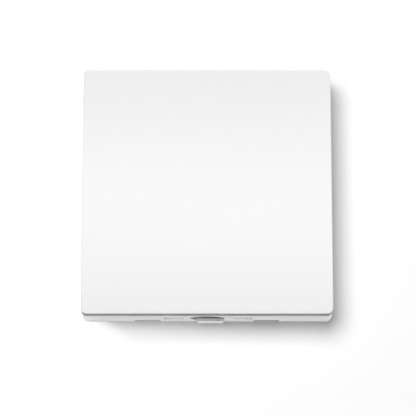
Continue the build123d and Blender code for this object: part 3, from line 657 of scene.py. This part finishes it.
# Raised line: at each path point the profile corners lie at plus and minus half the width along the mitred
# side direction, at the foot and, drawn in, at the top
def strokeGrid(path, width, height, draw, closed=False):
    path = np.array(path, float)
    step = np.roll(path, -1, 0) - path
    if not closed:
        step[-1] = step[-2]
    step /= np.linalg.norm(step, axis=1)[:, None]
    before = np.roll(step, 1, 0)
    if not closed:
        before[0] = step[0]
    side = np.stack([-step[:, 1], step[:, 0]], 1)
    sideBefore = np.stack([-before[:, 1], before[:, 0]], 1)
    mitre = (side + sideBefore) / (1 + np.sum(side * sideBefore, 1))[:, None]
    foot, top = mitre * width / 2, mitre * width / 2 * draw
    corners = [path - foot, path - top, path + top, path + foot]
    level = [0, height, height, 0]
    grid = np.stack([np.column_stack([c, np.full(len(path), h)]) for c, h in zip(corners, level)], 1)
    return grid, ringFaces(len(path), 4, wrapRows=closed, caps=not closed)


# Printed lock signs under the frame: drawn in (right, out from the wall), laid on the drafted lower wall
lockSigns = {
    "line": 0.42 * mm, "thick": 0.02 * mm, "draw": 0.95, "middle": 6.0 * mm, "draft": 0.2 * mm,
    "open": -13.4 * mm, "shut": 14.3 * mm, "size": 2.5 * mm,
    "bodyTop": 0.08, "bodyHalf": 0.42, "bowRise": 0.12, "freeEnd": 0.05, "swing": 0.3,  # shares of the size
    "bowHalf": 0.62, "bowSteps": 13,  # share of the body's half width
    "arrow": 0.36, "arrowFrom": 2.2 * mm, "arrowStep": 1.3 * mm, "arrowCount": 3,
    "colour": (0.30, 0.305, 0.305), "shade": (0.36, 0.365, 0.365), "roughness": 0.5, "fleckSize": 0.15 * mm,
}


# outline of a lock's body, and its bow, which the open lock has swung aside
def lockPaths(x, swing):
    size = lockSigns["size"]
    bodyFoot, bodyTop = -size / 2, size * lockSigns["bodyTop"]
    half = size * lockSigns["bodyHalf"]
    body = [(-half, bodyFoot), (half, bodyFoot), (half, bodyTop), (-half, bodyTop)]
    turn = np.linspace(0, math.pi, lockSigns["bowSteps"])
    bowHalf = half * lockSigns["bowHalf"]
    bowFoot = bodyTop + size * lockSigns["bowRise"]
    arc = np.column_stack([swing + bowHalf * np.cos(turn), bowFoot + bowHalf * np.sin(turn)])
    freeEnd = bodyTop + (size * lockSigns["freeEnd"] if swing else 0)
    bow = np.concatenate([[(swing + bowHalf, bodyTop)], arc, [(swing - bowHalf, freeEnd)]])
    return [(np.array(body) + (x, 0), True), (bow + (x, 0), False)]


def arrowPath(x, way):
    size = lockSigns["size"] * lockSigns["arrow"]
    tip = way * size / 2
    return [(np.array([(-tip, -size), (tip, 0), (-tip, size)]) + (x, 0), False)]


def layUnderFrame(grid):
    out = grid[..., 1] + lockSigns["middle"]
    rise = frameLow.z + lockSigns["draft"] * out / (frameHigh.y - frameLow.y)
    return np.stack([grid[..., 0], -out, rise - grid[..., 2]], -1)


signPaths = lockPaths(lockSigns["open"], -lockSigns["size"] * lockSigns["swing"])
signPaths += lockPaths(lockSigns["shut"], 0)
for count in range(lockSigns["arrowCount"]):
    step = count * lockSigns["arrowStep"]
    signPaths += arrowPath(lockSigns["open"] + lockSigns["arrowFrom"] + step, -1)
    signPaths += arrowPath(lockSigns["shut"] - lockSigns["arrowFrom"] - step, 1)
signGrids = [
    strokeGrid(path, lockSigns["line"], lockSigns["thick"], lockSigns["draw"], closed)
    for path, closed in signPaths
]
inkLook = newLook("greyInk")
inkFleck = inkLook.noise(lockSigns["fleckSize"])
inkColour = inkLook.mix(inkFleck, lockSigns["shade"], lockSigns["colour"])
inkLook.shade(Base_Color=inkColour, Roughness=lockSigns["roughness"])
makePiece("lockSigns", [(layUnderFrame(g), f) for g, f in signGrids], inkLook, "wall_unit")

# Moulded letters and arrow on the back of the rear housing, drawn in (right as seen from behind, up)
backMarks = {
    "line": 0.55 * mm, "raise": 0.2 * mm, "sink": 0.05 * mm, "draw": 0.5,
    "letter": 3.0 * mm, "letterUp": 4.2 * mm, "singleBy": 0.8 * mm, "pairBy": 1.6 * mm,
    "arrow": 4.0 * mm, "arrowUp": 15 * mm,
}
letterL = [(0, 1), (0, 0), (0.55, 0)]
figureOne = [(0.75, 0.78), (0.98, 1), (0.98, 0)]
arrowShaft = [(0, -0.6), (0, 0.6)]
arrowHead = [(-0.4, 0.15), (0, 0.62), (0.4, 0.15)]
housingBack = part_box("rear_housing")[1].y


def layOnBack(path, x, z, size):
    height = backMarks["raise"] + backMarks["sink"]
    grid, faces = strokeGrid(np.array(path) * size, backMarks["line"], height, backMarks["draw"])
    back = housingBack - backMarks["sink"] + grid[..., 2]
    return np.stack([x - grid[..., 0], back, z + grid[..., 1]], -1), faces


letterZ = clampZ + backMarks["letterUp"]
pairX = -clampX + backMarks["pairBy"]
markGrids = [
    layOnBack(letterL, clampX + backMarks["singleBy"], letterZ, backMarks["letter"]),
    layOnBack(letterL, pairX, letterZ, backMarks["letter"]),
    layOnBack(figureOne, pairX, letterZ, backMarks["letter"]),
    layOnBack(arrowShaft, 0, backMarks["arrowUp"], backMarks["arrow"]),
    layOnBack(arrowHead, 0, backMarks["arrowUp"], backMarks["arrow"]),
]
makePiece("housingMarks", markGrids, housingLook, "wall_unit")

# Wall: a sheet between an outer square and the opening that the plate covers, and two patches that close it
# behind the frame's notches; from behind all of it is clear
wallPlan = {
    "half": 0.3, "overlap": 0.1 * mm, "corner": 1.8 * mm, "cornerSteps": 9, "back": 0.03 * mm,
    "notchAt": 20.5 * mm, "notchWidth": 8.9 * mm, "notchTop": 2.03 * mm, "colour": (0.56, 0.56, 0.56),
}


# square with round corners: each corner's points lie on a quarter circle
def roundSquare(half, radius, steps):
    quarter = np.arange(4)[:, None] * math.pi / 2
    angle = (quarter + np.linspace(0, math.pi / 2, steps)).ravel()
    diagonal = (quarter + np.full(steps, math.pi / 4)).ravel()
    middle = (half - radius) * np.sign([np.cos(diagonal), np.sin(diagonal)])
    return (middle + radius * np.stack([np.cos(angle), np.sin(angle)])).T


openHalf = frameHigh.x - wallPlan["overlap"]
wallHalves = (wallPlan["half"], openHalf)
wallRings = [roundSquare(half, wallPlan["corner"], wallPlan["cornerSteps"]) for half in wallHalves]
patch = np.array([(-1, 0), (1, 0), (1, 1), (-1, 1)]) * (wallPlan["notchWidth"] / 2, wallPlan["notchTop"])
patches = [patch + (side * wallPlan["notchAt"], -openHalf) for side in (-1, 1)]
wallPoints = np.concatenate(wallRings + patches)
wallPoints = np.stack([wallPoints[:, 0], np.full(len(wallPoints), wallPlan["back"]), wallPoints[:, 1]], -1)
ringSize = len(wallRings[0])
patchFaces = 2 * ringSize + np.arange(8).reshape(2, 4)
wallFaces = np.concatenate([*ringFaces(2, ringSize), patchFaces])
wallMesh = bpy.data.meshes.new("wall")
wallMesh.from_pydata(wallPoints, [], wallFaces.tolist())
wall = bpy.data.objects.new("wall", wallMesh)
bpy.context.scene.collection.objects.link(wall)
# as seen by the camera only, painted light whitens the wall: the shadow under the plate fades to white
# towards its left end and its tail, is a little paler below the slider's tab and in the notches, and the wall
# far from the plate is white
shadowFade = {
    "endFrom": -39 * mm, "endTo": -29 * mm, "slant": 1.3, "foot": -44 * mm,
    "tailFrom": -30 * mm, "tailTo": 12 * mm, "tailTop": -41 * mm, "tailLow": -46.4 * mm, "tailMost": 0.5,
    "lift": 0.01, "tabLift": 0.06, "tabAt": 1.2 * mm, "tabHalf": 4.3 * mm, "tabSoft": 1.2 * mm,
    "tabLow": -44.9 * mm, "tabTop": -44.0 * mm,
    "notchLift": 0.07, "notchLow": -43.7 * mm, "notchHigh": -43.0 * mm,
    "farFrom": 64 * mm, "farTo": 100 * mm,
}
wallLook = newLook("wallPaint")
wallX, _, wallZ = wallLook.axes()
tailAlong = wallX.ramp(shadowFade["tailTo"], shadowFade["tailFrom"])
tail = tailAlong * wallZ.ramp(shadowFade["tailTop"], shadowFade["tailLow"])
slanted = wallX + shadowFade["slant"] * (wallZ - shadowFade["foot"])
shaded = slanted.ease(shadowFade["endFrom"], shadowFade["endTo"]) * (1 - shadowFade["tailMost"] * tail)
tabOuter = shadowFade["tabHalf"] + shadowFade["tabSoft"]
beside = abs(wallX - shadowFade["tabAt"]).ramp(tabOuter, shadowFade["tabHalf"])
underTab = beside * wallZ.ramp(shadowFade["tabLow"], shadowFade["tabTop"])
shaded = shaded * (1 - shadowFade["lift"] - shadowFade["tabLift"] * underTab)
byNotch = abs(abs(wallX) - wallPlan["notchAt"]) < wallPlan["notchWidth"] / 2
inNotch = byNotch * wallZ.ramp(shadowFade["notchLow"], shadowFade["notchHigh"])
shaded = shaded * (1 - shadowFade["notchLift"] * inNotch)
away = abs(wallX).calc("MAXIMUM", abs(wallZ))
shaded = shaded * (1 - away.ease(shadowFade["farFrom"], shadowFade["farTo"]))
paintedWhite = (1 - shaded) * wallLook.add("ShaderNodeLightPath", output="Is Camera Ray")
matt = wallLook.add("ShaderNodeBsdfDiffuse", None, {"Color": wallPlan["colour"]})
glow = wallLook.add("ShaderNodeEmission", None, {"Color": (1.0, 1.0, 1.0), "Strength": 1.0})
paint = wallLook.add("ShaderNodeMixShader", None, (paintedWhite, matt, glow))
behind = wallLook.add("ShaderNodeNewGeometry", output="Backfacing")
clear = wallLook.add("ShaderNodeBsdfTransparent")
oneSided = wallLook.add("ShaderNodeMixShader", None, (behind, paint, clear))
wallLook.feed(wallLook.tree.nodes["Material Output"].inputs["Surface"], oneSided)
wallMesh.materials.append(wallLook.owner)

# World: white where it is seen, mirrored or seen through glass, a low even light otherwise
skyPlan = {"ambient": (0.11, 0.11, 0.11), "white": (1.0, 1.0, 1.0)}
sky = Look(bpy.data.worlds.new("studio"))
bpy.context.scene.world = sky.owner
seen = sky.add("ShaderNodeLightPath", output="Is Camera Ray")
mirrored = sky.add("ShaderNodeLightPath", output="Is Glossy Ray")
passed = sky.add("ShaderNodeLightPath", output="Is Transmission Ray")
asWhite = seen.calc("MAXIMUM", mirrored).calc("MAXIMUM", passed)
skyColour = sky.mix(asWhite, skyPlan["ambient"], skyPlan["white"])
sky.feed(sky.tree.nodes["Background"].inputs["Color"], skyColour)

# the wall and the part have lamps of their own
onlyWall = bpy.data.collections.new("onlyWall")
allButWall = bpy.data.collections.new("allButWall")
for group, state in ((onlyWall, "INCLUDE"), (allButWall, "EXCLUDE")):
    group.objects.link(wall)
    group.collection_objects[0].light_linking.link_state = state

# Lamps, all aimed at the origin: one that isn't mirrored stays out of reflections, and one that isn't
# scattered shows in reflections only
lamps = {
    "keyLight": {
        "place": (-0.02, -1.2, 0.24), "size": (0.82, 0.82), "watts": 12.3, "mirrored": False,
        "lights": allButWall,
    },
    "wallLight": {
        "place": (-0.2, -1.2, 0.321), "size": (0.84, 0.76), "watts": 22.8, "shape": "ELLIPSE",
        "mirrored": False, "lights": onlyWall,
    },
    "wallSide": {
        "place": (-0.42, -1.2, -0.03), "size": (0.9, 0.9), "watts": 8.3, "mirrored": False,
        "lights": onlyWall,
    },
    "glossStrip": {
        "place": (0, -0.97, 0.195), "size": (0.9, 0.16), "watts": 2.55, "shape": "RECTANGLE",
        "scattered": False, "lights": allButWall,
    },
    "lowFill": {
        "place": (0, -0.04, -0.8), "size": (0.6, 0.06), "watts": 2.3, "shape": "RECTANGLE",
        "mirrored": False, "lights": allButWall,
    },
    "topFill": {
        "place": (0, -0.05, 0.95), "size": (0.4, 0.4), "watts": 2.5, "mirrored": False,
        "lights": allButWall,
    },
    "rightRim": {
        "place": (0.9, -0.14, 0.05), "size": (0.3, 0.6), "watts": 3.0, "shape": "RECTANGLE",
        "mirrored": False, "lights": allButWall,
    },
    "leftRim": {
        "place": (-0.9, -0.14, 0.1), "size": (0.3, 0.6), "watts": 2.2, "shape": "RECTANGLE",
        "mirrored": False, "lights": allButWall,
    },
    "rearKey": {"place": (0.3, 1.1, 0.4), "size": (0.7, 0.7), "watts": 11.0, "lights": allButWall},
    "rearFill": {"place": (-0.6, 0.9, -0.2), "size": (0.6, 0.6), "watts": 3.5, "lights": allButWall},
}
for name, plan in lamps.items():
    lamp = bpy.data.lights.new(name, "AREA")
    lamp.shape = plan.get("shape", "DISK")
    lamp.size, lamp.size_y = plan["size"]
    lamp.energy = plan["watts"]
    lampObject = bpy.data.objects.new(name, lamp)
    lampObject.location = plan["place"]
    aim = Vector((0, 0, 0)) - Vector(plan["place"])
    lampObject.rotation_euler = aim.to_track_quat("-Z", "Y").to_euler()
    lampObject.visible_camera = False
    lampObject.visible_glossy = plan.get("mirrored", True)
    lampObject.visible_diffuse = plan.get("scattered", True)
    lampObject.light_linking.receiver_collection = plan["lights"]
    bpy.context.scene.collection.objects.link(lampObject)
print("lamps placed:", len(lamps))

# Camera: square on, from about twelve degrees below
cameraPlan = {
    "place": (0, -0.7474, -0.1662), "aim": (0.00034, -0.016, -0.00626), "lens": 189.26, "sensor": 36.0,
}
cameraData = bpy.data.cameras.new("camera")
cameraData.lens = cameraPlan["lens"]
cameraData.sensor_width = cameraPlan["sensor"]
camera = bpy.data.objects.new("camera", cameraData)
camera.location = cameraPlan["place"]
cameraAim = Vector(cameraPlan["aim"]) - Vector(cameraPlan["place"])
camera.rotation_euler = cameraAim.to_track_quat("-Z", "Y").to_euler()
bpy.context.scene.collection.objects.link(camera)
bpy.context.scene.camera = camera
bpy.context.scene.view_settings.view_transform = "Standard"
